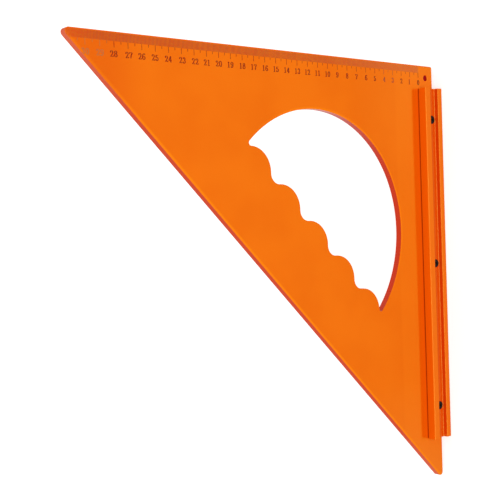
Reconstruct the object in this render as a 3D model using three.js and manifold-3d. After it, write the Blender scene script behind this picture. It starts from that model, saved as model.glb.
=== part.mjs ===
// Marking set square: a 45 degree blade of orange sheet, held in a slotted fence by three screws and nuts.
// Millimetres. The square stands on the fence: X runs along the fence towards the right angle,
// Y runs through the sheet with the graduated face towards -Y, and Z rises from the fence's outer face.
import * as THREE from 'three';
import { mergeVertices } from 'three/addons/utils/BufferGeometryUtils.js';
import Module from 'manifold-3d';

const wasm = await Module();
wasm.setup();

// Blade sheet
const bladeLeg = 333.3;
const bladeThickness = 5;
const bladeEdgeBreak = 0.3;
const rightCornerRadius = 1.6;
const acuteCornerRadius = 2.6;

// Handle opening in the blade, an arch over finger bumps that run parallel to the long edge
const archFromScaleEdge = 39.3;
const archCentreFromLongEdge = 51.5;
const bumpCrestFromLongEdge = 58.15;
const bumpRadius = 17.8;
const valleyRadius = 7.6;
const bumpPitch = 37.05;
const openingShiftToScaleTip = 1.9;
const openingTipRadius = 2;

// Hanging hole near the right angle
const hangingHoleDiameter = 4.5;
const hangingHoleFromScaleEdge = 9.4;
const hangingHoleFromFenceEdge = 7.6;

// Fence bar, slotted for the blade and grooved along both faces
const fenceFromScaleEdge = 18;
const fenceFromFarTip = 35.9;
const fenceFloor = 3.4;
const outerRibWidth = 4.9;
const grooveWidth = 9;
const innerRibWidth = 6.1;
const cheekThickness = 7.1;
const grooveDepth = 3.2;
const slotClearance = 0.1;
const ribEdgeRadius = 0.8;
const grooveFilletRadius = 0.8;
const slotEdgeRadius = 0.3;

// Countersunk socket screws and their nuts, size M3
const screwCount = 3;
const screwFromScaleEnd = 24.7;
const screwFromTipEnd = 25.8;
const screwDiameter = 3;
const screwHeadDiameter = 6.4;
const screwHeadRim = 0.2;
const screwLength = 16;
const screwEndChamfer = 0.4;
const screwHoleDiameter = 3.4;
const headClearance = 0.1;
const socketAcrossFlats = 2;
const socketDepth = 1.1;
const nutAcrossFlats = 5.5;
const nutThickness = 2.4;
const nutHoleDiameter = 3.3;
const nutChamfer = 0.45;
const nutSeatGap = 0.05;

// Cutters run past the faces they cut, arcs keep this close to their true curve,
// and corners closer together than the merge distance are one corner
const cutOverrun = 1;
const arcTolerance = 0.05;
const mergeDistance = 0.002;
const roundSides = 32;

const orangeSheet = new THREE.MeshStandardMaterial({ color: 0xf67614, roughness: 0.12, metalness: 0 });
const orangeFence = new THREE.MeshStandardMaterial({ color: 0xf27212, roughness: 0.28, metalness: 0 });
const blackSteel = new THREE.MeshStandardMaterial({ color: 0x15161a, roughness: 0.4, metalness: 0.9 });

// Sizes that follow from the ones above
const slotWidth = bladeThickness + 2 * slotClearance;
const fenceThickness = slotWidth + 2 * cheekThickness;
const fenceWidth = outerRibWidth + grooveWidth + innerRibWidth;
const grooveFloorY = fenceThickness / 2 - grooveDepth;
const grooveCentreZ = outerRibWidth + grooveWidth / 2;
const fenceLength = bladeLeg - fenceFromScaleEdge - fenceFromFarTip;
const scaleEdgeX = fenceLength / 2 + fenceFromScaleEdge;
const bladeFootZ = fenceFloor + slotClearance;

// A point of an arc is placed by its angle about a centre
function onCircle(centre, radius, angle) {
  return new THREE.Vector2(centre.x + radius * Math.cos(angle), centre.y + radius * Math.sin(angle));
}

// Points of an arc that starts in one direction from its centre and turns to another; turn is 1 or -1
function arcPoints(centre, radius, towardsStart, towardsEnd, turn) {
  const start = Math.atan2(towardsStart.y - centre.y, towardsStart.x - centre.x);
  const end = Math.atan2(towardsEnd.y - centre.y, towardsEnd.x - centre.x);
  const fullTurn = 2 * Math.PI;
  const sweep = ((((end - start) * turn) % fullTurn) + fullTurn) % fullTurn;
  const largestStep = 2 * Math.acos(1 - Math.min(arcTolerance, radius / 2) / radius);
  const steps = Math.max(2, Math.ceil(sweep / largestStep));
  const points = [];
  for (let i = 0; i <= steps; i += 1) {
    points.push(onCircle(centre, radius, start + (turn * sweep * i) / steps));
  }
  return points;
}

// A polygon, walked anticlockwise, with an arc in place of each corner
function roundedOutline(corners) {
  const points = [];
  corners.forEach((corner, i) => {
    const before = corners[(i + corners.length - 1) % corners.length].at;
    const after = corners[(i + 1) % corners.length].at;
    const toBefore = before.clone().sub(corner.at).normalize();
    const toAfter = after.clone().sub(corner.at).normalize();
    const halfAngle = Math.acos(toBefore.dot(toAfter)) / 2;
    const inward = toBefore.clone().add(toAfter).normalize();
    const centre = corner.at.clone().addScaledVector(inward, corner.radius / Math.sin(halfAngle));
    const tangentLength = corner.radius / Math.tan(halfAngle);
    const arcStart = corner.at.clone().addScaledVector(toBefore, tangentLength);
    const arcEnd = corner.at.clone().addScaledVector(toAfter, tangentLength);
    const turn = Math.sign(toAfter.cross(toBefore));
    points.push(...arcPoints(centre, corner.radius, arcStart, arcEnd, turn));
  });
  return points;
}

// Where two circles cross, at the crossing with the larger y
function upperCrossing(centreA, radiusA, centreB, radiusB) {
  const between = centreB.clone().sub(centreA);
  const distance = between.length();
  const along = (distance ** 2 + radiusA ** 2 - radiusB ** 2) / (2 * distance);
  const across = Math.sqrt(radiusA ** 2 - along ** 2);
  const foot = centreA.clone().addScaledVector(between, along / distance);
  const sideways = new THREE.Vector2(-between.y, between.x).divideScalar(distance);
  const first = foot.clone().addScaledVector(sideways, across);
  const second = foot.clone().addScaledVector(sideways, -across);
  return first.y > second.y ? first : second;
}

// Handle opening in its own frame: x along the long edge, y inwards from the long edge.
// The bumps fill the arch from one foot to the other.
function openingOutline(archRadius) {
  const archCentre = new THREE.Vector2(0, archCentreFromLongEdge);
  const bumpCount = Math.ceil((2 * archRadius) / bumpPitch);
  const bumpY = bumpCrestFromLongEdge - bumpRadius;
  const valleyRise = Math.sqrt((bumpRadius + valleyRadius) ** 2 - (bumpPitch / 2) ** 2);
  const bumps = [];
  for (let i = 0; i < bumpCount; i += 1) {
    bumps.push(new THREE.Vector2((i - (bumpCount - 1) / 2) * bumpPitch, bumpY));
  }
  const lastBump = bumps[bumpCount - 1];
  const firstTip = upperCrossing(
    archCentre, archRadius - openingTipRadius, bumps[0], bumpRadius + openingTipRadius);
  const lastTip = upperCrossing(
    archCentre, archRadius - openingTipRadius, lastBump, bumpRadius + openingTipRadius);
  const beyondFirst = firstTip.clone().multiplyScalar(2).sub(archCentre);
  const beyondLast = lastTip.clone().multiplyScalar(2).sub(archCentre);

  const points = arcPoints(firstTip, openingTipRadius, beyondFirst, bumps[0], 1);
  bumps.forEach((bump, i) => {
    const halfPitch = bumpPitch / 2;
    const valleyBefore = new THREE.Vector2(bump.x - halfPitch, bumpY + valleyRise);
    const valleyAfter = new THREE.Vector2(bump.x + halfPitch, bumpY + valleyRise);
    const from = i === 0 ? firstTip : valleyBefore;
    const to = i === bumpCount - 1 ? lastTip : valleyAfter;
    points.push(...arcPoints(bump, bumpRadius, from, to, -1));
    if (i < bumpCount - 1) {
      points.push(...arcPoints(valleyAfter, valleyRadius, bump, bumps[i + 1], 1));
    }
  });
  points.push(...arcPoints(lastTip, openingTipRadius, lastBump, beyondLast, 1));
  points.push(...arcPoints(archCentre, archRadius, lastTip, firstTip, 1));
  return points;
}

// Neighbouring arcs share an end point, so a point on top of the one before it is left out
function withoutRepeats(points) {
  return points.filter((point, i) => {
    const before = points[(i + points.length - 1) % points.length];
    return point.distanceTo(before) > mergeDistance;
  });
}

// Solids join and cut as closed meshes with shared corners
function toSolid(geometry) {
  const bare = geometry.index ? geometry.toNonIndexed() : geometry.clone();
  bare.deleteAttribute('normal');
  bare.deleteAttribute('uv');
  const merged = mergeVertices(bare, mergeDistance);
  const index = merged.index.array;
  const triangles = [];
  for (let i = 0; i < index.length; i += 3) {
    const [a, b, c] = [index[i], index[i + 1], index[i + 2]];
    if (a !== b && b !== c && c !== a) triangles.push(a, b, c);
  }
  return new wasm.Manifold(new wasm.Mesh({
    numProp: 3,
    vertProperties: new Float32Array(merged.attributes.position.array),
    triVerts: new Uint32Array(triangles),
  }));
}

function toGeometry(solid) {
  const mesh = solid.getMesh();
  const geometry = new THREE.BufferGeometry();
  geometry.setAttribute('position', new THREE.BufferAttribute(new Float32Array(mesh.vertProperties), 3));
  geometry.setIndex(new THREE.BufferAttribute(new Uint32Array(mesh.triVerts), 1));
  const flat = geometry.toNonIndexed();
  flat.computeVertexNormals();
  return flat;
}

function addPiece(name, geometry, material, parent) {
  const mesh = new THREE.Mesh(geometry, material);
  mesh.name = name;
  parent.add(mesh);
  return mesh;
}

// A turned solid about the Y axis, from radius and height pairs that start and end on the axis
function turned(profile) {
  return toSolid(new THREE.LatheGeometry(profile.map(([r, y]) => new THREE.Vector2(r, y)), roundSides));
}

// Six flats about the Y axis
function hexagon(acrossFlats, height) {
  const acrossCorners = acrossFlats / Math.cos(Math.PI / 6);
  return new THREE.CylinderGeometry(acrossCorners / 2, acrossCorners / 2, height, 6);
}

// Screws are spaced along the fence from the end nearest the scale
const screwPitch = (fenceLength - screwFromScaleEnd - screwFromTipEnd) / (screwCount - 1);
const screwXs = [];
for (let i = 0; i < screwCount; i += 1) {
  screwXs.push(fenceLength / 2 - screwFromScaleEnd - i * screwPitch);
}

// Blade: drawn in X and Z, cut through for the hand, the hook and the screws, then given its thickness
function bladeGeometry() {
  const corner = new THREE.Vector2(scaleEdgeX, bladeFootZ);
  const scaleTip = new THREE.Vector2(scaleEdgeX, bladeFootZ + bladeLeg);
  const fenceTip = new THREE.Vector2(scaleEdgeX - bladeLeg, bladeFootZ);
  const sheet = new THREE.Shape(withoutRepeats(roundedOutline([
    { at: corner, radius: rightCornerRadius },
    { at: scaleTip, radius: acuteCornerRadius },
    { at: fenceTip, radius: acuteCornerRadius },
  ])));

  const longEdgeMiddle = scaleTip.clone().add(fenceTip).divideScalar(2);
  const alongEdge = scaleTip.clone().sub(fenceTip).normalize();
  const inwards = new THREE.Vector2(alongEdge.y, -alongEdge.x);
  const openingFoot = longEdgeMiddle.addScaledVector(alongEdge, openingShiftToScaleTip);
  const archCentre = openingFoot.clone().addScaledVector(inwards, archCentreFromLongEdge);
  const archRadius = scaleEdgeX - archFromScaleEdge - archCentre.x;
  const opening = withoutRepeats(openingOutline(archRadius)).map((point) => openingFoot.clone()
    .addScaledVector(alongEdge, point.x)
    .addScaledVector(inwards, point.y));
  sheet.holes.push(new THREE.Path(opening));

  const roundHole = (x, z, diameter) => {
    const centre = new THREE.Vector2(x, z);
    const points = [];
    for (let i = 0; i < roundSides; i += 1) {
      points.push(onCircle(centre, diameter / 2, (2 * Math.PI * i) / roundSides));
    }
    sheet.holes.push(new THREE.Path(points));
  };
  roundHole(
    scaleEdgeX - hangingHoleFromScaleEdge, bladeFootZ + hangingHoleFromFenceEdge, hangingHoleDiameter);
  screwXs.forEach((x) => roundHole(x, grooveCentreZ, screwHoleDiameter));

  return new THREE.ExtrudeGeometry(sheet, {
    depth: bladeThickness - 2 * bladeEdgeBreak,
    steps: 1,
    bevelEnabled: true,
    bevelSegments: 1,
    bevelThickness: bladeEdgeBreak,
    bevelSize: bladeEdgeBreak,
    bevelOffset: -bladeEdgeBreak,
  });
}

// Fence: one half of the section in Y and Z, mirrored, drawn out along X and drilled for the screws
function fenceGeometry() {
  const halfSection = [
    { y: fenceThickness / 2, z: 0, radius: ribEdgeRadius },
    { y: fenceThickness / 2, z: outerRibWidth, radius: ribEdgeRadius },
    { y: grooveFloorY, z: outerRibWidth, radius: grooveFilletRadius },
    { y: grooveFloorY, z: outerRibWidth + grooveWidth, radius: grooveFilletRadius },
    { y: fenceThickness / 2, z: outerRibWidth + grooveWidth, radius: ribEdgeRadius },
    { y: fenceThickness / 2, z: fenceWidth, radius: ribEdgeRadius },
    { y: slotWidth / 2, z: fenceWidth, radius: slotEdgeRadius },
    { y: slotWidth / 2, z: fenceFloor, radius: slotEdgeRadius },
  ];
  const mirrored = halfSection.map(({ y, z, radius }) => ({ y: -y, z, radius })).reverse();
  // A section drawn as (-Z, Y) comes upright once its length is turned onto X
  const section = [...halfSection, ...mirrored].map(({ y, z, radius }) => (
    { at: new THREE.Vector2(-z, y), radius }));
  const bar = new THREE.ExtrudeGeometry(new THREE.Shape(withoutRepeats(roundedOutline(section))), {
    depth: fenceLength, steps: 1, bevelEnabled: false,
  });
  bar.rotateY(Math.PI / 2);
  bar.translate(-fenceLength / 2, 0, 0);

  const mouthRadius = screwHeadDiameter / 2 + headClearance;
  const holeRadius = screwHoleDiameter / 2;
  const front = -grooveFloorY;
  const drill = [
    [0, front - cutOverrun],
    [mouthRadius, front - cutOverrun],
    [mouthRadius, front + screwHeadRim],
    [holeRadius, front + screwHeadRim + mouthRadius - holeRadius],
    [holeRadius, grooveFloorY + cutOverrun],
    [0, grooveFloorY + cutOverrun],
  ];
  let solid = toSolid(bar);
  screwXs.forEach((x) => {
    solid = solid.subtract(turned(drill).translate([x, 0, grooveCentreZ]));
  });
  return toGeometry(solid);
}

// Screw: flat head flush with the front groove, with a six-sided socket
function screwGeometry() {
  const headRadius = screwHeadDiameter / 2;
  const shankRadius = screwDiameter / 2;
  const front = -grooveFloorY;
  const end = front + screwLength;
  const body = turned([
    [0, front],
    [headRadius, front],
    [headRadius, front + screwHeadRim],
    [shankRadius, front + screwHeadRim + headRadius - shankRadius],
    [shankRadius, end - screwEndChamfer],
    [shankRadius - screwEndChamfer, end],
    [0, end],
  ]);
  const socket = hexagon(socketAcrossFlats, socketDepth + cutOverrun);
  socket.translate(0, front + (socketDepth - cutOverrun) / 2, 0);
  return toGeometry(body.subtract(toSolid(socket)));
}

// Nut: six flats with turned-off corners, seated in the rear groove
function nutGeometry() {
  const seat = grooveFloorY + nutSeatGap;
  const top = seat + nutThickness;
  const cornerRadius = nutAcrossFlats / Math.sqrt(3);
  const chamferRadius = cornerRadius - nutChamfer;
  const chamferRise = nutChamfer * Math.tan(Math.PI / 6);
  const blank = turned([
    [0, seat],
    [chamferRadius, seat],
    [cornerRadius, seat + chamferRise],
    [cornerRadius, top - chamferRise],
    [chamferRadius, top],
    [0, top],
  ]);
  const flats = hexagon(nutAcrossFlats, nutThickness + 2 * cutOverrun);
  flats.translate(0, (seat + top) / 2, 0);
  const bore = new THREE.CylinderGeometry(
    nutHoleDiameter / 2, nutHoleDiameter / 2, nutThickness + 2 * cutOverrun, roundSides);
  bore.translate(0, (seat + top) / 2, 0);
  return toGeometry(blank.intersect(toSolid(flats)).subtract(toSolid(bore)));
}

const square = new THREE.Group();

// The sheet is extruded along its own Z and stood up, so its front face looks towards -Y
const blade = addPiece('blade', bladeGeometry(), orangeSheet, square);
blade.rotation.x = Math.PI / 2;
blade.position.y = bladeThickness / 2 - bladeEdgeBreak;

addPiece('fence', fenceGeometry(), orangeFence, square);

screwXs.forEach((x, i) => {
  const fixing = new THREE.Group();
  fixing.position.set(x, 0, grooveCentreZ);
  addPiece(`fence_screw_${i + 1}`, screwGeometry(), blackSteel, fixing);
  addPiece(`fence_nut_${i + 1}`, nutGeometry(), blackSteel, fixing);
  square.add(fixing);
});

export default square;
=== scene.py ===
# Marking set square: the finish of every piece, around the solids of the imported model.
# Metres. The square stands on its fence: X runs along the fence towards the right angle, Y runs
# through the sheet with the graduated face towards -Y, and Z rises from the fence's outer face.
import math

import bmesh
import bpy
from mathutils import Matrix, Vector


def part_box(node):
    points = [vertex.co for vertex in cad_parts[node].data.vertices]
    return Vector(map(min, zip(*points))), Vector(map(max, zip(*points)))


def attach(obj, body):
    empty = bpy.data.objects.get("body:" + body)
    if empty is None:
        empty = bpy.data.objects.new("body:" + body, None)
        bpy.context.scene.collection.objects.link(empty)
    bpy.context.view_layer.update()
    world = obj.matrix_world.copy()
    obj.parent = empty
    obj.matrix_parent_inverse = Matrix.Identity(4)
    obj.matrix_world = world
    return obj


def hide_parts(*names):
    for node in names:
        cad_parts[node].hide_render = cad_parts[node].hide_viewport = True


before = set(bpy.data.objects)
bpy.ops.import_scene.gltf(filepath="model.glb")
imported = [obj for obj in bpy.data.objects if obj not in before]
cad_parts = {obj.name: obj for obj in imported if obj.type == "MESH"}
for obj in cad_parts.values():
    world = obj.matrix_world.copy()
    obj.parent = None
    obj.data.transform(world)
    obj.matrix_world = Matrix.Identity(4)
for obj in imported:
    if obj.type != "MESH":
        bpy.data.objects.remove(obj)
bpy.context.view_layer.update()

# Blade
# A 45 degree triangle of 5 mm orange acrylic. The hand opening and the holes are routed through the
# polished sheet, the outline is sawn, and a fine bevel takes the sharpness off every edge.
MM = 0.001
blade_low, blade_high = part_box("blade")
fence_low, fence_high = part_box("fence")
blade_leg = 333.3 * MM
scale_edge_x = blade_high.x
blade_front_y = blade_low.y
blade_thickness = blade_high.y - blade_low.y
right_corner = Vector((scale_edge_x, blade_front_y, blade_low.z))
scale_tip = right_corner + Vector((0, 0, blade_leg))
fence_tip = right_corner - Vector((blade_leg, 0, 0))
right_corner_radius = 1.6 * MM
acute_corner_radius = 2.6 * MM
blade_edge_break = 0.18 * MM
along_long_edge = (scale_tip - fence_tip).normalized()
inwards = Vector((1, 0, -1)).normalized()

arch_from_scale_edge = 39.3 * MM
arch_centre_from_long_edge = 51.5 * MM
bump_crest_from_long_edge = 58.15 * MM
bump_radius = 17.8 * MM
valley_radius = 7.6 * MM
bump_pitch = 37.05 * MM
bump_count = 5
opening_shift_to_scale_tip = 1.9 * MM
opening_tip_radius = 2 * MM
opening_tip_steps = 14
bump_steps = 22
valley_steps = 20
arch_steps = 120
opening_foot = (scale_tip + fence_tip) / 2 + along_long_edge * opening_shift_to_scale_tip
arch_centre = opening_foot + inwards * arch_centre_from_long_edge
arch_radius = scale_edge_x - arch_from_scale_edge - arch_centre.x

hanging_hole_radius = 2.25 * MM
hanging_hole_chamfer = 0.7 * MM
hanging_hole_from_scale_edge = 9.4 * MM
hanging_hole_from_foot = 7.6 * MM
hanging_hole = right_corner + Vector((-hanging_hole_from_scale_edge, 0, hanging_hole_from_foot))
screw_hole_radius = 1.7 * MM
screw_from_outer_face = 9.4 * MM
screw_count = 3
screw_boxes = [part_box(f"fence_screw_{n}") for n in range(1, screw_count + 1)]
screw_axes = [
    Vector(((low.x + high.x) / 2, 0, fence_low.z + screw_from_outer_face)) for low, high in screw_boxes]
cut_overrun = 2 * MM
merge_distance = 0.002 * MM
rim_reach = 0.01 * MM
# Painted shade for the line where the blade goes into the fence, laid on both parts
joint_shade = (0.28, 0.008, 0.0002)


def start_piece(name):
    """Names the primitive just added and takes it into edit mode with nothing selected."""
    piece = bpy.context.object
    piece.name = piece.data.name = name
    bpy.ops.object.transform_apply(location=True, rotation=True, scale=True)
    bpy.ops.object.mode_set(mode="EDIT")
    bpy.ops.mesh.select_mode(type="VERT")
    bpy.ops.mesh.select_all(action="DESELECT")
    return piece


def pick(kind, test):
    """Selects the vertices, edges or faces in edit mode that pass the test, and nothing else."""
    bpy.ops.mesh.select_mode(type=kind)
    bpy.ops.mesh.select_all(action="DESELECT")
    edited = bmesh.from_edit_mesh(bpy.context.edit_object.data)
    parts = {"VERT": edited.verts, "EDGE": edited.edges, "FACE": edited.faces}[kind]
    for part in parts:
        if test(part):
            part.select_set(True)
    edited.select_flush_mode()
    bmesh.update_edit_mesh(bpy.context.edit_object.data)


def near(place, corner, reach=0.2 * MM):
    return (Vector(place) - Vector(corner)).length < reach


def round_corner(corner, radius, opening_angle, steps):
    """Rounds one corner of a flat outline. A bevel's profile is a share that makes the arc round."""
    half = opening_angle / 2
    pick("VERT", lambda vert: near(vert.co, corner))
    arc_share = (1 - 1 / (2 * (1 + math.sin(half)))) ** 2
    bpy.ops.mesh.bevel(
        offset_type="OFFSET", offset=radius / math.tan(half), segments=steps, profile=arc_share,
        affect="VERTICES", clamp_overlap=False)


def extrude(*run):
    """Draws the selection out by this much along X, Y and Z."""
    bpy.ops.mesh.extrude_region_move(TRANSFORM_OT_translate={"value": run})


def close_solid():
    """Merges doubled points, turns every face outwards and leaves edit mode."""
    bpy.ops.mesh.select_all(action="SELECT")
    bpy.ops.mesh.remove_doubles(threshold=merge_distance)
    bpy.ops.mesh.normals_make_consistent(inside=False)
    bpy.ops.object.mode_set(mode="OBJECT")


def alone(piece):
    """Makes this piece the only selected and the active one."""
    bpy.ops.object.select_all(action="DESELECT")
    piece.select_set(True)
    bpy.context.view_layer.objects.active = piece


def edit(piece):
    alone(piece)
    bpy.ops.object.mode_set(mode="EDIT")


def apply_modifier(piece, kind, **settings):
    alone(piece)
    modifier = piece.modifiers.new(kind.lower(), kind)
    for name, value in settings.items():
        setattr(modifier, name, value)
    bpy.ops.object.modifier_apply(modifier=modifier.name)


def cut_with(piece, cutters):
    """Takes the cutters out of the piece one after another, and removes them."""
    for cutter in cutters:
        apply_modifier(piece, "BOOLEAN", operation="DIFFERENCE", solver="EXACT", object=cutter)
        bpy.data.meshes.remove(cutter.data)


def bevel_edges(piece, test, width, steps):
    """A rounded bevel on the edges that pass the test."""
    edit(piece)
    pick("EDGE", test)
    bpy.ops.mesh.bevel(offset=width, segments=steps, affect="EDGES")
    bpy.ops.object.mode_set(mode="OBJECT")


def break_edges(piece, width, steps, sharp_over=math.radians(40)):
    """A fine rounded bevel on each sharp edge."""
    edit(piece)
    bpy.ops.mesh.select_mode(type="EDGE")
    bpy.ops.mesh.select_all(action="DESELECT")
    bpy.ops.mesh.edges_select_sharp(sharpness=sharp_over)
    bpy.ops.mesh.bevel(
        offset_type="OFFSET", offset=width, segments=steps, profile=0.5, affect="EDGES",
        clamp_overlap=True)
    bpy.ops.object.mode_set(mode="OBJECT")


def shade_flats(piece, sharp_over=math.radians(60)):
    """Smooth shading that keeps the flats flat."""
    alone(piece)
    bpy.ops.object.shade_smooth_by_angle(angle=sharp_over)
    apply_modifier(piece, "WEIGHTED_NORMAL", weight=100, keep_sharp=True)


def bar(name, axis, radius, low_y, high_y, sides):
    """A round or many-sided bar about an axis along Y, in edit mode with nothing selected."""
    bpy.ops.object.select_all(action="DESELECT")
    bpy.ops.mesh.primitive_cylinder_add(
        vertices=sides, radius=radius, depth=high_y - low_y,
        location=(axis.x, (low_y + high_y) / 2, axis.z), rotation=(math.pi / 2, 0, 0))
    return start_piece(name)


def round_cutter(name, axis, radius, low_y, high_y, sides=48):
    """A drill's path along Y."""
    cutter = bar(name, axis, radius, low_y, high_y, sides)
    bpy.ops.object.mode_set(mode="OBJECT")
    return cutter


def from_axis(spot, axis):
    """How far a place is from an axis along Y."""
    return math.hypot(spot.x - axis.x, spot.z - axis.z)


def rise(edge):
    """How far an edge runs along Y."""
    return abs(edge.verts[0].co.y - edge.verts[1].co.y)


def crossing(centre_a, radius_a, centre_b, radius_b, side):
    """Where two circles cross, on the side of the line between them that is asked for."""
    between = centre_b - centre_a
    along = (between.length_squared + radius_a ** 2 - radius_b ** 2) / (2 * between.length)
    across = math.sqrt(radius_a ** 2 - along ** 2)
    foot = centre_a + between.normalized() * along
    sideways = between.normalized().cross(Vector((0, 1, 0)))
    crossings = [foot + sideways * across, foot - sideways * across]
    return max(crossings, key=lambda point: (point - centre_a).dot(side))


def turn_between(centre, start, end, way):
    """The angle from start to end about a centre, seen from the front; way is 1 or -1."""
    from_start = start - centre
    from_end = end - centre
    angle = math.atan2(from_start.cross(from_end).dot(Vector((0, 1, 0))), from_start.dot(from_end))
    return angle % (way * math.tau)


def opening_cutter():
    """The router's path for the hand opening: one point swept round each arc in turn."""
    bump_depth = bump_crest_from_long_edge - bump_radius
    valley_rise = math.sqrt((bump_radius + valley_radius) ** 2 - (bump_pitch / 2) ** 2)
    bumps = []
    for i in range(bump_count):
        along = (i - (bump_count - 1) / 2) * bump_pitch
        bumps.append(opening_foot + along_long_edge * along + inwards * bump_depth)
    tips = []
    for bump in (bumps[0], bumps[-1]):
        tips.append(crossing(
            arch_centre, arch_radius - opening_tip_radius, bump, bump_radius + opening_tip_radius,
            inwards))

    def towards(centre, point, radius):
        return centre + (point - centre).normalized() * radius

    # Each arc is its centre, the point it ends at, the way it turns and its number of steps
    first_tip, last_tip = tips
    start = towards(first_tip, arch_centre, -opening_tip_radius)
    arcs = [(first_tip, towards(first_tip, bumps[0], opening_tip_radius), 1, opening_tip_steps)]
    for i, bump in enumerate(bumps):
        if i == bump_count - 1:
            arcs.append((bump, towards(bump, last_tip, bump_radius), -1, bump_steps))
        else:
            valley = bump + along_long_edge * (bump_pitch / 2) + inwards * valley_rise
            arcs.append((bump, towards(bump, valley, bump_radius), -1, bump_steps))
            arcs.append((valley, towards(valley, bumps[i + 1], valley_radius), 1, valley_steps))
    arcs.append((last_tip, towards(last_tip, arch_centre, -opening_tip_radius), 1, opening_tip_steps))
    arcs.append((arch_centre, start, 1, arch_steps))

    bpy.ops.object.select_all(action="DESELECT")
    bpy.ops.mesh.primitive_plane_add(size=MM, location=start - Vector((0, cut_overrun, 0)))
    cutter = start_piece("opening_cutter")
    bpy.ops.mesh.select_all(action="SELECT")
    bpy.ops.mesh.merge(type="CENTER")
    here = start
    for centre, end, way, steps in arcs:
        turn = turn_between(centre, here, end, way)
        bpy.ops.mesh.spin(steps=steps, angle=turn, center=centre, axis=(0, -1, 0))
        here = end
    bpy.ops.mesh.select_all(action="SELECT")
    bpy.ops.mesh.remove_doubles(threshold=merge_distance)
    bpy.ops.mesh.edge_face_add()
    extrude(0, blade_thickness + 2 * cut_overrun, 0)
    close_solid()
    return cutter


def make_blade():
    bpy.ops.object.select_all(action="DESELECT")
    middle = (fence_tip + scale_tip) / 2
    bpy.ops.mesh.primitive_plane_add(size=blade_leg, location=middle, rotation=(math.pi / 2, 0, 0))
    blade = start_piece("set_square_blade")
    far_corner = fence_tip + scale_tip - right_corner
    pick("VERT", lambda vert: near(vert.co, far_corner))
    bpy.ops.mesh.delete(type="VERT")
    bpy.ops.mesh.select_all(action="SELECT")
    bpy.ops.mesh.edge_face_add()
    round_corner(right_corner, right_corner_radius, math.pi / 2, steps=8)
    for tip in (scale_tip, fence_tip):
        round_corner(tip, acute_corner_radius, math.pi / 4, steps=14)

    # A line through every hole parts each flat into plain outlines that the holes can't break up
    bpy.ops.mesh.select_all(action="SELECT")
    bpy.ops.mesh.bisect(plane_co=hanging_hole, plane_no=(1, 0, 0))
    for place, normal in ((screw_axes[0], (0, 0, 1)), (arch_centre, along_long_edge)):
        pick("FACE", lambda face: face.calc_center_bounds().x < hanging_hole.x)
        bpy.ops.mesh.bisect(plane_co=place, plane_no=normal)
    bpy.ops.mesh.select_all(action="SELECT")
    extrude(0, blade_thickness, 0)
    close_solid()

    low_y = blade_front_y - cut_overrun
    high_y = blade_front_y + blade_thickness + cut_overrun
    cutters = [opening_cutter()]
    cutters.append(round_cutter("hanging_drill", hanging_hole, hanging_hole_radius, low_y, high_y))
    for axis in screw_axes:
        cutters.append(round_cutter("screw_drill", axis, screw_hole_radius, low_y, high_y, sides=24))
    cut_with(blade, cutters)

    def on_hanging_rim(edge):
        on_bore = all(
            abs(from_axis(vert.co, hanging_hole) - hanging_hole_radius) < rim_reach
            for vert in edge.verts)
        return on_bore and rise(edge) < merge_distance

    bevel_edges(blade, on_hanging_rim, hanging_hole_chamfer, steps=4)
    break_edges(blade, blade_edge_break, steps=3)
    shade_flats(blade)
    return blade


class Wire:
    """A value on its way through a material, so that sums of values read as sums."""

    def __init__(self, finish, socket):
        self.finish = finish
        self.socket = socket

    def math(self, operation, *values):
        return self.finish.node("ShaderNodeMath", {"operation": operation}, dict(enumerate(values)))

    def __add__(self, other):
        return self.math("ADD", self, other)

    def __sub__(self, other):
        return self.math("SUBTRACT", self, other)

    def __rsub__(self, other):
        return self.math("SUBTRACT", other, self)

    def __mul__(self, other):
        return self.math("MULTIPLY", self, other)

    def __truediv__(self, other):
        return self.math("DIVIDE", self, other)

    __radd__ = __add__
    __rmul__ = __mul__

    def size(self):
        return self.math("ABSOLUTE", self)

    def root(self):
        return self.math("SQRT", self)

    def clipped(self):
        return self.finish.node("ShaderNodeClamp", {}, {"Value": self})


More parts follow.
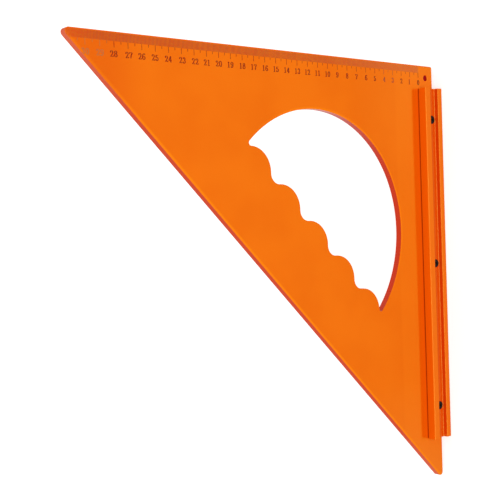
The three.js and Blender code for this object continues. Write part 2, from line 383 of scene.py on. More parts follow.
class Finish:
    """A material that is mixed node by node."""

    def __init__(self, name):
        self.material = bpy.data.materials.new(name)
        self.material.use_nodes = True
        self.tree = self.material.node_tree
        self.tree.nodes.clear()

    def node(self, kind, settings, inputs, output=0):
        """Adds a node, makes its settings, then sets or links its sockets."""
        node = self.tree.nodes.new(kind)
        for name, value in settings.items():
            setattr(node, name, value)
        for name, value in inputs.items():
            if isinstance(value, Wire):
                self.tree.links.new(value.socket, node.inputs[name])
            else:
                node.inputs[name].default_value = value
        return Wire(self, node.outputs[output]) if node.outputs else None

    def place(self, stretch=(1, 1, 1)):
        """Where a point is on the piece, in metres, times a stretch along each axis."""
        spot = self.node("ShaderNodeTexCoord", {}, {}, "Object")
        return self.node("ShaderNodeMapping", {}, {"Vector": spot, "Scale": stretch})

    def along(self, axis):
        spot = self.node("ShaderNodeTexCoord", {}, {}, "Object")
        return self.node("ShaderNodeSeparateXYZ", {}, {"Vector": spot}, axis)

    def noise(self, place, scale, detail=2.0, rough=0.5):
        inputs = {"Vector": place, "Scale": scale, "Detail": detail, "Roughness": rough}
        return self.node("ShaderNodeTexNoise", {}, inputs, "Fac")

    def ramp(self, value, low, high, smooth=False):
        """0 up to low, 1 from high, and a straight or eased rise between them."""
        settings = {"interpolation_type": "SMOOTHSTEP" if smooth else "LINEAR"}
        inputs = {"Value": value, "From Min": low, "From Max": high}
        return self.node("ShaderNodeMapRange", settings, inputs)

    def colours(self, share, colour_a, colour_b):
        """A mix of two colours: sockets 6 and 7 of the node take them, and its output 2 gives it."""
        inputs = {"Factor": share, 6: as_colour(colour_a), 7: as_colour(colour_b)}
        return self.node("ShaderNodeMix", {"data_type": "RGBA"}, inputs, 2)

    def layered(self, body, *layers):
        """Lays tones over a body colour one after another, each with its own share."""
        for share, tone in layers:
            body = self.colours(share, body, tone)
        return body

    def bump(self, height, distance, strength=1.0):
        return self.node(
            "ShaderNodeBump", {}, {"Height": height, "Distance": distance, "Strength": strength})

    def surface(self, inputs):
        bsdf = self.node("ShaderNodeBsdfPrincipled", {}, inputs)
        return self.show(bsdf)

    def glossed(self, inputs, share, tint):
        """A surface under a thin gloss of its own tint, which takes that share of the light."""
        bsdf = self.node("ShaderNodeBsdfPrincipled", {}, {**inputs, "Specular IOR Level": 0})
        shine = {"Color": (*tint, 1), "Roughness": inputs["Roughness"], "Normal": inputs["Normal"]}
        gloss = self.node("ShaderNodeBsdfAnisotropic", {}, shine)
        return self.show(self.node("ShaderNodeMixShader", {}, {0: share, 1: bsdf, 2: gloss}))

    def show(self, shader):
        self.node("ShaderNodeOutputMaterial", {}, {"Surface": shader})
        return self.material


def as_colour(colour):
    return colour if isinstance(colour, Wire) else (*colour, 1)


def polished_face():
    """Cast sheet under its factory polish. Painted sheen makes it paler by the right corner, the fence
    tip and the fence, painted shade deepens it towards the scale's far tip, and a painted reflection
    deepens it at the sawn scale edge."""
    finish = Finish("polished_sheet_face")
    place = finish.place()
    across = finish.along("X")
    height = finish.along("Z")
    cloud = finish.ramp(finish.noise(place, 18, 2), 0.35, 0.65, smooth=True)
    fleck = finish.noise(place, 900, 2)
    # Painted sheen by the fence, the right corner and the fence tip, painted shade towards the far tip,
    # and a painted reflection of the sawn edge along the scale edge
    by_fence = 1 - finish.ramp(height, 46 * MM, 49 * MM)
    corner_sheen = finish.ramp(across, 40 * MM, 150 * MM) * (1 - finish.ramp(height, 20 * MM, 100 * MM))
    fence_tip_sheen = 1 - finish.ramp(across, -170 * MM, -90 * MM)
    far_tip_shade = finish.ramp(height, 270 * MM, 308 * MM, smooth=True)
    at_scale_edge = finish.ramp(across, scale_edge_x - 0.9 * MM, scale_edge_x - 0.3 * MM)

    # Ink has spread thinly between the millimetre marks towards the far tip
    from_scale_edge = scale_edge_x - across
    past_edge = finish.ramp(from_scale_edge, 0.6 * MM, 0.9 * MM)
    past_band = finish.ramp(from_scale_edge, 5.5 * MM, 5.9 * MM)
    spread_ink = (past_edge - past_band) * finish.ramp(height, 170 * MM, 280 * MM)

    # Painted highlights lie along the long edge and the arch
    from_long_edge = (across - height - (fence_tip.x - fence_tip.z)) / math.sqrt(2)
    long_edge_highlight = 1 - finish.ramp(from_long_edge, 0.9 * MM, 2.4 * MM)
    from_centre_x = across - arch_centre.x
    from_centre_z = height - arch_centre.z
    from_centre = (from_centre_x * from_centre_x + from_centre_z * from_centre_z).root()
    arch_highlight = 1 - finish.ramp(from_centre, arch_radius + 0.7 * MM, arch_radius + 2 * MM)
    past_bumps = finish.ramp(from_long_edge, bump_crest_from_long_edge, 2 * bump_crest_from_long_edge)

    # Painted shade dulls the sheet close to the fence's side and darkens a line where it goes into the
    # fence
    clear_of_fence = finish.ramp(height, fence_high.z + 6 * MM, fence_high.z + 11 * MM, smooth=True)
    clear_of_end = finish.ramp(across.size(), fence_high.x - 3 * MM, fence_high.x + 3 * MM, smooth=True)
    fence_side_shade = (1 - clear_of_fence) * (1 - clear_of_end)
    above_joint = finish.ramp(height, fence_high.z + 0.5 * MM, fence_high.z + 1.2 * MM)
    past_fence = finish.ramp(across.size(), fence_high.x - 0.5 * MM, fence_high.x)

    body = finish.colours(cloud, (0.82, 0.086, 0.0003), (0.86, 0.106, 0.0012))
    body = finish.layered(
        body,
        (fleck * 0.06, (0.88, 0.140, 0.0020)),
        (by_fence * 0.5, (0.88, 0.120, 0.0020)),
        (corner_sheen * (1 - fence_side_shade) * 0.55, (0.93, 0.165, 0.0120)),
        (fence_tip_sheen * (1 - fence_side_shade) * 0.6, (0.86, 0.135, 0.0160)),
        (far_tip_shade * 0.8, (0.76, 0.050, 0.0002)),
        (at_scale_edge * 0.8, (0.76, 0.050, 0.0005)),
        (spread_ink * 0.4, (0.50, 0.040, 0.0060)),
        (long_edge_highlight * (0.8 - far_tip_shade * 0.45), (0.98, 0.185, 0.0008)),
        (arch_highlight * past_bumps * 0.8, (0.98, 0.170, 0.0008)),
        (fence_side_shade * 0.45, (0.69, 0.084, 0.0002)),
        ((1 - above_joint) * (1 - past_fence) * 0.6, joint_shade))
    wave = finish.noise(place, 45, 1) * 0.8 + finish.noise(place, 160, 2) * 0.2
    handling = finish.ramp(finish.noise(place, 22, 4, 0.6), 0.45, 0.8)
    return finish.glossed({
        "Base Color": body, "Roughness": handling * 0.06 + 0.08,
        "Normal": finish.bump(wave, 0.03 * MM, 0.6)}, share=0.075, tint=(1.0, 0.9, 0.06))


wall_sheen = (1.0, 0.5, 0.18)


def cutter_marks(finish):
    """Fine marks of the cutter across the sheet's thickness, and the tone that changes with them."""
    marks = finish.noise(finish.place((1, 0.04, 1)), 1400, 3)
    return marks, marks * 0.5 + finish.noise(finish.place(), 60, 2) * 0.5


def sawn_edge():
    """Walls of the sawn outline: dull, redder than the face, and paler towards the two sharp tips."""
    finish = Finish("sawn_sheet_edge")
    marks, tone = cutter_marks(finish)
    edge_middle = (fence_tip.x + fence_tip.z + scale_tip.x + scale_tip.z) / 2
    half_edge = (scale_tip - fence_tip).length / 2
    from_middle = (finish.along("X") + finish.along("Z") - edge_middle).size() / math.sqrt(2)
    at_tips = finish.ramp(from_middle, half_edge - 70 * MM, half_edge - 8 * MM)
    body = finish.colours(tone, (0.62, 0.033, 0.021), (0.78, 0.059, 0.031))
    body = finish.colours(at_tips * 0.85, body, (0.78, 0.125, 0.076))
    return finish.glossed({
        "Base Color": body, "Roughness": marks * 0.15 + 0.25,
        "Normal": finish.bump(marks, 0.02 * MM, 0.5)}, share=0.09, tint=wall_sheen)


def routed_wall():
    """Walls of the hand opening: a deep red with a sheen that is pale where it is seen at a slant."""
    finish = Finish("routed_sheet_wall")
    marks, tone = cutter_marks(finish)
    body = finish.colours(tone, (0.55, 0.012, 0.001), (0.69, 0.028, 0.003))
    return finish.surface({
        "Base Color": body, "Roughness": marks * 0.15 + 0.22, "IOR": 1.5,
        "Specular Tint": (*wall_sheen, 1), "Normal": finish.bump(marks, 0.02 * MM, 0.5)})


def drilled_wall():
    """The hanging hole's wall, left smooth by the drill: light is lost in it, so it is a deep red."""
    finish = Finish("drilled_sheet_wall")
    rings = finish.noise(finish.place((0.05, 1, 0.05)), 2600, 2)
    body = finish.colours(rings, (0.42, 0.002, 0.004), (0.56, 0.006, 0.010))
    return finish.surface({
        "Base Color": body, "Roughness": rings * 0.1 + 0.2, "IOR": 1.25,
        "Specular Tint": (1.0, 0.2, 0.2, 1), "Normal": finish.bump(rings, 0.01 * MM, 0.5)})


def sheet_part(face):
    """Which finish a face takes: 0 on the flats and their bevels, 1 on the sawn outline, 2 in the
    hand opening, 3 in the hanging hole."""
    wall_slope = math.radians(80)
    if abs(face.normal.y) > math.cos(wall_slope):
        return 0
    if from_axis(face.center, hanging_hole) < hanging_hole_radius + hanging_hole_chamfer:
        return 3
    from_scale_edge = scale_edge_x - face.center.x
    from_foot = face.center.z - right_corner.z
    from_long_edge = (face.center - fence_tip).dot(inwards)
    return 2 if min(from_scale_edge, from_foot, from_long_edge) > arch_from_scale_edge / 2 else 1


def give_finishes(piece, finishes, which=None):
    """Gives a piece its finishes. Where there are several, which(face) tells the one a face takes."""
    piece.data.materials.clear()
    for finish in finishes:
        piece.data.materials.append(finish)
    if which:
        for face in piece.data.polygons:
            face.material_index = which(face)


def keep(piece, slot, *nodes):
    """The piece stands for its solid and rides with it. The slot is not used."""
    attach(piece, "root")
    if nodes:
        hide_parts(*nodes)


blade = make_blade()
give_finishes(blade, [polished_face(), sawn_edge(), routed_wall(), drilled_wall()], sheet_part)
keep(blade, "blade_sheet", "blade")

# Printed scale
# Dark maroon ink, screen-printed on the front face before the sheet was sawn: millimetre, five and
# ten millimetre marks that run on to the sawn tip, and numerals from 0 to 30 that read with the
# graduated edge on top.
centimetres = 30
scale_zero_z = fence_high.z
ink_height = 0.02 * MM
millimetre_width = 0.48 * MM
long_mark_width = 0.4 * MM
scale_run_out = 4.4 * MM
mark_start = 0.85 * MM
millimetre_end = 5.8 * MM
five_end = 7.6 * MM
ten_end = 9.6 * MM
numeral_top = 11.45 * MM
numeral_height = 3.9 * MM
digit_step = 2.85 * MM
thick_share = 0.095
thin_share = 0.040
dot_share = 0.115
digit_width_share = 0.62
digit_reach = 4 * MM
stroke_lift = ink_height / 4
arc_step = 15
arc_least_steps = 6

# How far some numerals stand from their marks, in millimetres along the scale
numeral_slips = {
    1: 0.7, 4: -0.45, 6: -0.3, 9: 0.2, 10: 0.2, 11: 0.2, 12: 0.2, 13: -0.2, 16: -0.2, 19: 0.34,
    21: -0.17, 22: -0.65, 23: -0.55, 24: 0.38, 25: 0.37, 26: 0.22, 27: -0.43, 28: 0.42}


def marks(name, first, together, pitch, width, end):
    """A row of like marks as far as the sheet goes. They stand singly or some of them together,
    a millimetre apart, so that no mark lies on one of another row."""
    length = end - mark_start
    first_z = scale_zero_z + first
    bpy.ops.object.select_all(action="DESELECT")
    bpy.ops.mesh.primitive_cube_add(
        size=1, location=(scale_edge_x - mark_start - length / 2, blade_front_y, first_z),
        scale=(length, 2 * ink_height, width))
    row = start_piece(name)
    pick("EDGE", lambda edge: all(vert.co.y < blade_front_y for vert in edge.verts))
    bpy.ops.mesh.bevel(offset=ink_height / 2, segments=1, affect="EDGES")
    bpy.ops.object.mode_set(mode="OBJECT")
    groups = math.floor((scale_tip.z - scale_run_out - first_z) / pitch) + 1
    for count, step in ((together, MM), (groups, pitch)):
        apply_modifier(
            row, "ARRAY", count=count, use_relative_offset=False, use_constant_offset=True,
            constant_offset_displace=(0, 0, step))
    return row


def arc(x, z, rx, rz, start, end):
    """Points of a bowl, in shares of the height. Angles are in degrees, anticlockwise from the right."""
    steps = max(arc_least_steps, round(abs(end - start) / arc_step))
    points = []
    for i in range(steps + 1):
        angle = math.radians(start + (end - start) * i / steps)
        points.append((x + rx * math.cos(angle), z + rz * math.sin(angle)))
    return points


def bowl(x, z, rx, rz):
    """The points of a closed bowl or dot, each of them once."""
    return arc(x, z, rx, rz, 0, 360 - arc_step)


def turned_over(points):
    """A 9 is a 6 turned over."""
    return [(digit_width_share - x, 1 - z) for x, z in points]


# The pen strokes, bowls and end dots of each numeral, in shares of its height, from its left foot
numeral_strokes = {
    "1": [[(0.33, 0.02), (0.33, 0.97)], [(0.33, 0.96), (0.25, 0.88), (0.13, 0.85)],
          [(0.12, 0.03), (0.54, 0.03)]],
    "2": [arc(0.30, 0.72, 0.215, 0.245, 165, -30) + [(0.30, 0.28), (0.09, 0.06)],
          [(0.07, 0.06), (0.30, 0.075), (0.54, 0.05)], [(0.54, 0.05), (0.59, 0.22)]],
    "3": [arc(0.28, 0.755, 0.19, 0.21, 155, -90), arc(0.27, 0.29, 0.235, 0.255, 90, -160)],
    "4": [[(0.42, 0.02), (0.42, 0.97)], [(0.42, 0.97), (0.04, 0.29)], [(0.03, 0.28), (0.60, 0.28)],
          [(0.25, 0.03), (0.58, 0.03)]],
    "5": [[(0.14, 0.92), (0.34, 0.90), (0.54, 0.93)], [(0.145, 0.93), (0.12, 0.50)],
          arc(0.27, 0.32, 0.235, 0.285, 135, -160)],
    "6": [arc(0.37, 0.46, 0.28, 0.505, 65, 195)],
    "7": [[(0.06, 0.91), (0.30, 0.93), (0.57, 0.92)], [(0.07, 0.93), (0.05, 0.74)],
          [(0.56, 0.92), (0.36, 0.52), (0.26, 0.03)]],
}
numeral_bowls = {
    "0": [bowl(0.31, 0.5, 0.225, 0.465)],
    "6": [bowl(0.31, 0.30, 0.22, 0.265)],
    "8": [bowl(0.31, 0.745, 0.185, 0.22), bowl(0.31, 0.28, 0.225, 0.25)],
}
numeral_dots = {
    "2": [(0.14, 0.76)], "3": [(0.15, 0.82), (0.12, 0.19)], "5": [(0.12, 0.19)], "6": [(0.48, 0.86)],
}
numeral_strokes["9"] = [turned_over(points) for points in numeral_strokes["6"]]
numeral_bowls["9"] = [turned_over(points) for points in numeral_bowls["6"]]
numeral_dots["9"] = turned_over(numeral_dots["6"])


def stroke_sides(points, ring):
    """The two sides of a stroke drawn with a broad pen: upright strokes are thick, level ones thin."""
    left = []
    right = []
    last = len(points) - 1
    for i, point in enumerate(points):
        before = points[i - 1] if i or ring else point
        after = points[0 if i == last else i + 1] if i < last or ring else point
        run = Vector((after[0] - before[0], after[1] - before[1])).normalized()
        half = math.hypot(thick_share * run.y, thin_share * run.x)
        left.append((point[0] - run.y * half, point[1] + run.x * half))
        right.append((point[0] + run.y * half, point[1] - run.x * half))
    return left, right


def add_stroke(inked, points, ring, spot, top_y):
    """One stroke as a thin closed layer of ink. spot gives the place on the sheet of a point."""
    left, right = stroke_sides(points, ring)
    layers = []
    for y in (blade_front_y + ink_height, top_y):
        layers.append([[inked.verts.new(spot(x, z, y)) for x, z in side] for side in (left, right)])
    (low_left, low_right), (top_left, top_right) = layers
    for i in range(len(points) if ring else len(points) - 1):
        j = (i + 1) % len(points)
        inked.faces.new((top_left[i], top_left[j], top_right[j], top_right[i]))
        inked.faces.new((low_left[i], low_right[i], low_right[j], low_left[j]))
        inked.faces.new((top_left[j], top_left[i], low_left[i], low_left[j]))
        inked.faces.new((top_right[i], top_right[j], low_right[j], low_right[i]))
    if not ring:
        for i in (0, -1):
            inked.faces.new((top_left[i], top_right[i], low_right[i], low_left[i]))


def add_dot(inked, x, z, spot, top_y):
    """The ball that ends a stroke: a small disc of ink."""
    outline = bowl(x, z, dot_share, dot_share)
    low, top = [
        [inked.verts.new(spot(*point, y)) for point in outline]
        for y in (blade_front_y + ink_height, top_y)]
    inked.faces.new(top)
    inked.faces.new(low)
    for i in range(len(outline)):
        inked.faces.new((top[i - 1], top[i], low[i], low[i - 1]))


def make_numerals():
    """Each numeral stands under its ten millimetre mark, and two digits share the mark evenly. Some
    are set a little to one side of it. Strokes that cross lie one a little over the other."""
    mesh = bpy.data.meshes.new("scale_numerals")
    numerals = bpy.data.objects.new("scale_numerals", mesh)
    bpy.context.scene.collection.objects.link(numerals)
    inked = bmesh.new()
    foot_x = scale_edge_x - numeral_top - numeral_height
    for centimetre in range(centimetres + 1):
        digits = str(centimetre)
        width = (len(digits) - 1) * digit_step + digit_width_share * numeral_height
        middle_z = scale_zero_z + (centimetre * 10 + numeral_slips.get(centimetre, 0)) * MM
        for i, digit in enumerate(digits):
            left_z = middle_z + width / 2 - i * digit_step

            def spot(x, z, y):
                return (foot_x + z * numeral_height, y, left_z - x * numeral_height)

            top_y = blade_front_y - ink_height
            for ring, lines in ((False, numeral_strokes), (True, numeral_bowls)):
                for points in lines.get(digit, []):
                    add_stroke(inked, points, ring, spot, top_y)
                    top_y -= stroke_lift
            for dot_x, dot_z in numeral_dots.get(digit, []):
                add_dot(inked, dot_x, dot_z, spot, top_y)
    bmesh.ops.recalc_face_normals(inked, faces=inked.faces)
    inked.to_mesh(mesh)
    inked.free()
    return numerals


def saw_off(piece, place, outwards):
    """The saw went through the print, so what lies past the long edge and the tip is gone."""
    edit(piece)
    bpy.ops.mesh.select_all(action="SELECT")
    bpy.ops.mesh.bisect(plane_co=place, plane_no=outwards, use_fill=True, clear_outer=True)
    bpy.ops.mesh.select_all(action="SELECT")
    bpy.ops.mesh.fill_holes(sides=0)
    bpy.ops.object.mode_set(mode="OBJECT")


def scale_ink():
    """Screen ink: dark and matt, thinly laid in the millimetre band and worn pale at the far tip."""
    finish = Finish("scale_ink")
    place = finish.place()
    along_scale = finish.along("Z")
    from_edge = scale_edge_x - finish.along("X")
    thin = finish.ramp(finish.noise(place, 420, 3, 0.6), 0.40, 0.85)
    body = finish.colours(thin * 0.6, (0.19, 0.005, 0.001), (0.33, 0.025, 0.004))

    # Some numerals took the ink another way: the first and last of a run, the share and the tone
    for first, last, share, tone in (
            (0, 0, 0.9, (0.03, 0.001, 0.001)), (1, 1, 0.1, (0.50, 0.11, 0.07)),
            (3, 4, 0.35, (0.50, 0.11, 0.07)), (20, 28, 0.12, (0.50, 0.06, 0.01))):
        start = scale_zero_z + first * 10 * MM - digit_reach
        end = scale_zero_z + last * 10 * MM + digit_reach
        run = finish.ramp(along_scale, start, start + MM) - finish.ramp(along_scale, end - MM, end)
        body = finish.colours(run * share, body, tone)
    worn = finish.ramp(along_scale, 302 * MM, 308 * MM, smooth=True)
    body = finish.colours(worn * 0.85, body, (0.56, 0.16, 0.045))

    in_band = 1 - finish.ramp(from_edge, millimetre_end - 0.3 * MM, millimetre_end + 0.3 * MM)
    low_numbers = 1 - finish.ramp(along_scale, 55 * MM, 130 * MM)
    far_marks = finish.ramp(along_scale, 170 * MM, 280 * MM)
    last_marks = finish.ramp(along_scale, 312 * MM, 330 * MM)
    band = finish.colours(low_numbers, (0.34, 0.049, 0.020), (0.45, 0.095, 0.040))
    band = finish.layered(
        band, (far_marks * 0.35, (0.66, 0.058, 0.012)), (last_marks * 0.6, (0.78, 0.075, 0.004)))
    body = finish.colours(in_band, body, band)
    return finish.surface({
        "Base Color": body, "Roughness": thin * 0.2 + 0.5, "IOR": 1.3,
        "Specular Tint": (1.0, 0.5, 0.3, 1),
        "Normal": finish.bump(finish.noise(place, 2500, 2), 0.004 * MM, 0.6)})


ink = scale_ink()
scale_rows = [
    marks("millimetre_marks", MM, 4, 5 * MM, millimetre_width, millimetre_end),
    marks("five_millimetre_marks", 5 * MM, 1, 10 * MM, long_mark_width, five_end),
    marks("ten_millimetre_marks", 0, 1, 10 * MM, long_mark_width, ten_end),
    make_numerals(),
]
for row in scale_rows:
    saw_off(row, fence_tip + inwards * blade_edge_break, -inwards)
    saw_off(row, scale_tip - Vector((0, 0, scale_run_out)), (0, 0, 1))
    give_finishes(row, [ink])
    keep(row, "scale_ink")

# Fence
# One extruded bar of orange plastic, slotted along the top for the blade and grooved on both faces.
# The die leaves fine lines along it, and its ends are sawn and lightly broken.
fence_length = fence_high.x - fence_low.x
fence_thickness = fence_high.y - fence_low.y
fence_width = fence_high.z - fence_low.z
outer_rib_width = 4.9 * MM
groove_width = 9 * MM
groove_depth = 3.2 * MM
groove_draft = 0.9 * MM
fence_floor = 3.4 * MM
slot_clearance = 0.15 * MM
slot_width = blade_thickness + 2 * slot_clearance
rib_edge_radius = 0.8 * MM
groove_fillet_radius = 0.8 * MM
slot_edge_radius = 0.4 * MM
fence_end_break = 0.2 * MM
groove_floor_y = fence_high.y - groove_depth
groove_foot_z = fence_low.z + outer_rib_width
groove_top_z = groove_foot_z + groove_width
wall_foot_z = groove_foot_z + groove_draft
slot_floor_z = fence_low.z + fence_floor
rib_edge_steps = 6
groove_fillet_steps = 5
slot_edge_steps = 4
end_normal = 0.9
screw_head_radius = 3.2 * MM
head_clearance = 0.1 * MM
screw_head_rim = 0.2 * MM


def make_fence():
    bpy.ops.object.select_all(action="DESELECT")
    middle = Vector((fence_low.x, (fence_low.y + fence_high.y) / 2, (fence_low.z + fence_high.z) / 2))
    bpy.ops.mesh.primitive_plane_add(size=1, location=middle, rotation=(0, math.pi / 2, 0))
    bpy.context.object.scale = (fence_width, fence_thickness, 1)
    fence = start_piece("grooved_fence")
    planes = [((0, 0, z), (0, 0, 1)) for z in (groove_foot_z, groove_top_z, slot_floor_z)]
    for y in (slot_width / 2, groove_floor_y):
        planes += [((0, y, 0), (0, 1, 0)), ((0, -y, 0), (0, 1, 0))]
    for place, normal in planes:
        bpy.ops.mesh.select_all(action="SELECT")
        bpy.ops.mesh.bisect(plane_co=place, plane_no=normal)

    def in_hollow(face):
        spot = face.calc_center_median()
        in_groove = abs(spot.y) > groove_floor_y and groove_foot_z < spot.z < groove_top_z
        in_slot = abs(spot.y) < slot_width / 2 and spot.z > slot_floor_z
        return in_groove or in_slot

    pick("FACE", in_hollow)
    bpy.ops.mesh.delete(type="FACE")
    bpy.ops.mesh.select_all(action="SELECT")
    bpy.ops.mesh.dissolve_limited(angle_limit=math.radians(1))
    for side in (1, -1):
        pick("VERT", lambda vert: near(vert.co, (fence_low.x, side * groove_floor_y, groove_foot_z)))
        bpy.ops.transform.translate(value=(0, 0, groove_draft))

    # The groove's outer wall leans out, so its two corners open wider than a right angle
    square = math.pi / 2
    slanted = square + math.atan2(groove_draft, groove_depth)
    corners = []
    for side in (1, -1):
        rib_y = side * fence_high.y
        floor_y = side * groove_floor_y
        for z in (fence_low.z, groove_top_z, fence_high.z):
            corners.append((rib_y, z, rib_edge_radius, square, rib_edge_steps))
        corners.append((rib_y, groove_foot_z, rib_edge_radius, slanted, rib_edge_steps))
        corners.append((floor_y, wall_foot_z, groove_fillet_radius, slanted, groove_fillet_steps))
        corners.append((floor_y, groove_top_z, groove_fillet_radius, square, groove_fillet_steps))
        for z in (slot_floor_z, fence_high.z):
            corners.append((side * slot_width / 2, z, slot_edge_radius, square, slot_edge_steps))
    for y, z, radius, angle, steps in corners:
        round_corner((fence_low.x, y, z), radius, angle, steps)
    bpy.ops.mesh.select_all(action="SELECT")
    extrude(fence_length, 0, 0)
    close_solid()
    cut_with(fence, [screw_seat_cutter(axis) for axis in screw_axes])
    break_edges(fence, fence_end_break, steps=2)
    shade_flats(fence)
    return fence


def faces_back(face):
    """True for the rear end of a bar."""
    return face.normal.y > end_normal


def draw_out(axis, from_y, to_y, share):
    """Draws the selected end of a bar out along its axis, and sizes it by a share."""
    extrude(0, to_y - from_y, 0)
    bpy.ops.transform.resize(value=(share, 1, share), center_override=(axis.x, to_y, axis.z))


def screw_seat_cutter(axis):
    """The countersink and clearance hole of one screw, turned about the screw's axis."""
    mouth = screw_head_radius + head_clearance
    front = -groove_floor_y
    rim = front + screw_head_rim
    cone_foot = rim + mouth - screw_hole_radius
    cutter = bar("screw_seat", axis, mouth, front - cut_overrun, rim, sides=48)
    pick("FACE", faces_back)
    draw_out(axis, rim, cone_foot, screw_hole_radius / mouth)
    extrude(0, groove_floor_y + cut_overrun - cone_foot, 0)
    close_solid()
    return cutter


def extruded_plastic():
    """Semi-gloss plastic drawn through a die: fine lines run the whole length of the bar. Painted shade
    deepens the grooves and the joint with the blade, and painted light pales the inner face."""
    finish = Finish("extruded_fence")
    lines = finish.noise(finish.place((0.012, 1, 1)), 1500, 3, 0.6)
    broad = finish.noise(finish.place((0.02, 1, 1)), 320, 2)
    cloud = finish.noise(finish.place(), 25, 2)
    from_middle = finish.along("Y").size()
    height = finish.along("Z")
    inside_ends = 1 - finish.ramp(finish.along("X").size(), fence_high.x - 0.4 * MM, fence_high.x)
    outside = finish.ramp(from_middle, fence_high.y - 0.9 * MM, fence_high.y - 0.2 * MM)
    above_groove = finish.ramp(height, groove_top_z + 0.2 * MM, groove_top_z + MM)
    below_groove = 1 - finish.ramp(height, groove_foot_z - MM, groove_foot_z - 0.2 * MM)
    # Painted shade in the grooves, deeper under the lip and at the outer wall's foot, and on the slot's
    # lips by the blade; painted light on the inner face
    in_groove = (1 - above_groove - below_groove).clipped() * (1 - outside) * inside_ends
    lip_shade = finish.ramp(height, groove_foot_z + 2 * MM, groove_foot_z + 4.5 * MM)
    wall_foot_shade = 1 - finish.ramp(height, wall_foot_z, wall_foot_z + 0.6 * MM)
    at_joint = 1 - finish.ramp(from_middle, slot_width / 2, slot_width / 2 + slot_edge_radius)
    inner_face_light = finish.ramp(height, fence_high.z - 0.3 * MM, fence_high.z - 0.05 * MM)
    body = finish.colours(broad * 0.6 + cloud * 0.4, (0.85, 0.108, 0.0002), (0.88, 0.126, 0.0006))
    body = finish.layered(
        body,
        (inner_face_light, (0.91, 0.136, 0.0010)),
        (in_groove, (0.77, 0.066, 0.0003)),
        (in_groove * lip_shade * 0.5, (0.70, 0.036, 0.0002)),
        (in_groove * wall_foot_shade, (0.72, 0.049, 0.0003)),
        (at_joint * inside_ends * 0.6, joint_shade))
    return finish.glossed({
        "Base Color": body, "Roughness": lines * 0.12 + 0.16,
        "Normal": finish.bump(lines * 0.6 + broad * 0.4, 0.03 * MM, 0.6)},
        share=0.075, tint=(1.0, 0.9, 0.14))


fence = make_fence()
give_finishes(fence, [extruded_plastic()])
keep(fence, "fence_extrusion", "fence")

# Screws
# M3 flat head socket screws of blackened steel, driven from the front groove, flush with its floor.
# The shank is threaded to its end, where it stands just out of the nut.
screw_radius = 1.5 * MM
thread_pitch = 0.5 * MM
thread_depth = 0.28 * MM
thread_rings_in_pitch = 6
thread_sides = 48
point_chamfer = 0.4 * MM
point_slope = 0.9
socket_across_flats = 2 * MM
socket_depth = 1.1 * MM
drill_cone_rise = 0.4 * MM
drill_cone_share = 0.1
head_edge_break = 0.06 * MM


def make_screw():
    """The screw in the first hole. Its shank is drawn out ring by ring, and the points of the rings
    are then pulled in to the thread."""
    low, high = screw_boxes[0]
    axis = screw_axes[0]
    rim = low.y + screw_head_rim
    cone_foot = rim + screw_head_radius - screw_radius
    screw = bar("flat_head_screw", axis, screw_head_radius, low.y, rim, thread_sides)
    pick("FACE", faces_back)
    draw_out(axis, rim, cone_foot, screw_radius / screw_head_radius)
    ring = thread_pitch / thread_rings_in_pitch
    rings = round((high.y - cone_foot) / ring)
    here = cone_foot
    for _ in range(rings):
        there = here + (high.y - cone_foot) / rings
        draw_out(axis, here, there, 1)
        here = there
    edited = bmesh.from_edit_mesh(screw.data)
    for vert in edited.verts:
        if vert.co.y > cone_foot + ring / 2:
            arm = Vector((vert.co.x - axis.x, 0, vert.co.z - axis.z))
            turns_in = (vert.co.y - cone_foot) / thread_pitch
            phase = (turns_in + math.atan2(arm.z, arm.x) / math.tau) % 1
            depth = thread_depth * (1 - abs(2 * phase - 1)) * min(1, turns_in)
            into_point = point_chamfer - (high.y - vert.co.y)
            vert.co -= arm.normalized() * max(depth, into_point * point_slope)
    bmesh.update_edit_mesh(screw.data)
    bpy.ops.object.mode_set(mode="OBJECT")
    cut_with(screw, [socket_cutter(axis, low.y)])

    def on_head_rim(edge):
        on_rim = all(
            vert.co.y < rim + rim_reach and from_axis(vert.co, axis) > screw_radius
            for vert in edge.verts)
        return on_rim and rise(edge) < screw_head_rim / 2

    bevel_edges(screw, on_head_rim, head_edge_break, steps=2)
    shade_flats(screw, math.radians(35))
    return screw


def socket_cutter(axis, front):
    """A six-sided key's recess with the cone that its drill leaves at the bottom."""
    corner_radius = socket_across_flats / math.sqrt(3)
    foot = front + socket_depth
    cutter = bar("socket_cutter", axis, corner_radius, front - cut_overrun, foot, sides=6)
    pick("FACE", faces_back)
    draw_out(axis, foot, foot + drill_cone_rise, drill_cone_share)
    close_solid()
    return cutter


def blackened_steel():
    """Oil-blackened steel: near black, with a satin, slightly uneven sheen."""
    finish = Finish("blackened_steel")
    place = finish.place()
    cloud = finish.noise(place, 700, 3, 0.6)
    body = finish.colours(cloud, (0.004, 0.004, 0.004), (0.012, 0.012, 0.013))
    return finish.surface({
        "Base Color": body, "Metallic": 0.1, "Roughness": cloud * 0.2 + 0.36, "IOR": 1.22,
        "Normal": finish.bump(finish.noise(place, 4000, 2), 0.004 * MM, 0.5)})


def keep_row(piece, name, node):
    """Copies what sits in the first screw hole to the other holes, each copy with its own mesh."""
    give_finishes(piece, [steel])
    row = [piece]
    for axis in screw_axes[1:]:
        alone(piece)
        bpy.ops.object.duplicate()
        bpy.context.object.location.x = axis.x - screw_axes[0].x
        bpy.ops.object.transform_apply(location=True, rotation=True, scale=True)
        row.append(bpy.context.object)
    for n, copy in enumerate(row, start=1):
        copy.name = copy.data.name = f"{name}_{n}"
        keep(copy, "black_steel", f"{node}_{n}")


steel = blackened_steel()
keep_row(make_screw(), "flat_head_screw", "fence_screw")

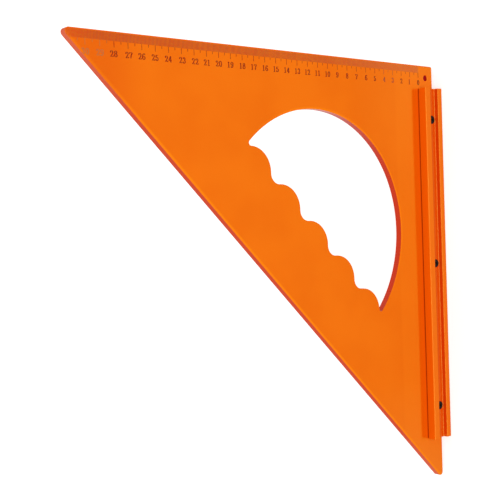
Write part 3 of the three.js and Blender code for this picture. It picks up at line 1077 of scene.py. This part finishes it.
# Nuts
# Plain M3 hexagon nuts of the same blackened steel, which draw the screws tight in the rear groove.
# Their corners are turned off at both ends, and the bore has a lead-in chamfer.
nut_flats = 6
nut_across_flats = 5.5 * MM
nut_bore_radius = 1.65 * MM
nut_chamfer = 0.45 * MM
nut_chamfer_angle = math.radians(30)
nut_bore_chamfer = 0.3 * MM
nut_rim_reach = 0.1 * MM
nut_rim_share = 1.02
nut_edge_break = 0.05 * MM
nut_blank_margin = 0.02 * MM


def make_nut():
    """The nut in the first hole: a six-sided bar, whose corners a turned blank takes off."""
    low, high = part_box("fence_nut_1")
    axis = screw_axes[0]
    corner_radius = nut_across_flats / math.sqrt(3)
    nut = bar("hexagon_nut", axis, corner_radius, low.y, high.y, nut_flats)
    bpy.ops.object.mode_set(mode="OBJECT")

    blank_radius = corner_radius + nut_blank_margin
    chamfer_rise = nut_chamfer * math.tan(nut_chamfer_angle)
    blank = bar("nut_blank", axis, blank_radius, low.y, high.y, sides=48)
    for end, inside in ((low.y, 1), (high.y, -1)):
        pick("FACE", lambda face: abs(face.calc_center_median().y - end) < rim_reach)
        draw_out(axis, end, end, (corner_radius - nut_chamfer) / blank_radius)
        pick("EDGE", lambda edge: all(
            abs(vert.co.y - end) < rim_reach and from_axis(vert.co, axis) > corner_radius
            for vert in edge.verts))
        bpy.ops.transform.translate(value=(0, inside * chamfer_rise, 0))
    close_solid()
    apply_modifier(nut, "BOOLEAN", operation="INTERSECT", solver="EXACT", object=blank)
    bpy.data.meshes.remove(blank.data)

    drill_from = low.y - cut_overrun
    drill_to = high.y + cut_overrun
    cut_with(nut, [round_cutter("nut_bore", axis, nut_bore_radius, drill_from, drill_to, sides=32)])

    def on_bore_rim(edge):
        reach = nut_bore_radius * nut_rim_share
        return all(from_axis(vert.co, axis) < reach for vert in edge.verts) and rise(edge) < nut_rim_reach

    bevel_edges(nut, on_bore_rim, nut_bore_chamfer, steps=1)
    break_edges(nut, nut_edge_break, steps=2, sharp_over=math.radians(25))
    shade_flats(nut, math.radians(40))
    return nut


keep_row(make_nut(), "hexagon_nut", "fence_nut")

# Floor
# A wide pale studio floor, under even light that shows the colours as they are. The camera and
# reflections see it lifted to white, and it still takes the square's shadow.
floor_size = 12
floor_albedo = 0.6
floor_unevenness = 0.02
floor_lift = 0.62


def studio_floor():
    finish = Finish("studio_floor")
    lifted = seen_directly(finish)
    grain = finish.noise(finish.place(), 3, 2)
    pale = finish.colours(grain, (floor_albedo,) * 3, (floor_albedo + floor_unevenness,) * 3)
    diffuse = finish.node("ShaderNodeBsdfDiffuse", {}, {"Color": pale})
    glow = finish.node(
        "ShaderNodeEmission", {}, {"Color": (1, 1, 1, 1), "Strength": lifted * floor_lift})
    return finish.show(finish.node("ShaderNodeAddShader", {}, {0: diffuse, 1: glow}))


def seen_directly(finish):
    """1 for the camera and for what is seen in polished surfaces, 0 for light falling on things."""
    path = finish.node("ShaderNodeLightPath", {}, {}, "Is Camera Ray")
    glossy = finish.node("ShaderNodeLightPath", {}, {}, "Is Glossy Ray")
    through = finish.node("ShaderNodeLightPath", {}, {}, "Is Transmission Ray")
    return (path + glossy + through).clipped()


bpy.ops.object.select_all(action="DESELECT")
bpy.ops.mesh.primitive_plane_add(size=floor_size, location=(0, 0, fence_low.z))
floor = bpy.context.object
floor.name = "studio_floor"
bpy.ops.object.transform_apply(location=True, rotation=True, scale=True)
floor.data.materials.append(studio_floor())

# Light
# An even white surround does most of it. A wide softbox in front brings a bright line out of each
# rounded edge, and a weaker one behind keeps the back from going dull.
surround_light = 0.80
world = bpy.data.worlds.new("studio")
bpy.context.scene.world = world
world.use_nodes = True
world.node_tree.nodes.clear()


class Surround(Finish):
    """The studio's walls and ceiling, mixed node by node as a finish is."""

    def __init__(self, node_tree):
        self.tree = node_tree

    def show(self, shader):
        self.node("ShaderNodeOutputWorld", {}, {"Surface": shader})


surround = Surround(world.node_tree)
white_to_the_eye = seen_directly(surround)
strength = white_to_the_eye * (1 - surround_light) + surround_light
surround.show(surround.node("ShaderNodeBackground", {}, {"Color": (1, 1, 1, 1), "Strength": strength}))

lamp_size = 1.2
lamps_aim = Vector((0, 0, 0.15))
for name, watts, place in (
        ("front_softbox", 9.9, Vector((0, -1.5, 0.6))), ("rear_softbox", 5.5, Vector((0, 1.5, 0.2)))):
    bpy.ops.object.light_add(type="AREA", location=place)
    lamp = bpy.context.object
    lamp.name = name
    lamp.data.shape = "SQUARE"
    lamp.data.size = lamp_size
    lamp.data.energy = watts
    lamp.rotation_euler = (lamps_aim - place).to_track_quat("-Z", "Y").to_euler()

# Camera
# The view of the photograph: from the scale's far tip side, turned a quarter so that the fence
# stands at the right.
camera_place = Vector((43.57, -498.11, 611.00)) * MM
camera_turn = [math.radians(angle) for angle in (-4.4738, 50.1499, -93.1711)]
camera_lens = 68.693
bpy.ops.object.camera_add(location=camera_place, rotation=camera_turn)
camera = bpy.context.object
camera.name = "photo_view"
camera.data.lens = camera_lens
camera.data.sensor_width = 36
camera.data.clip_start = 0.01
bpy.context.scene.camera = camera
bpy.context.scene.view_settings.view_transform = "Standard"
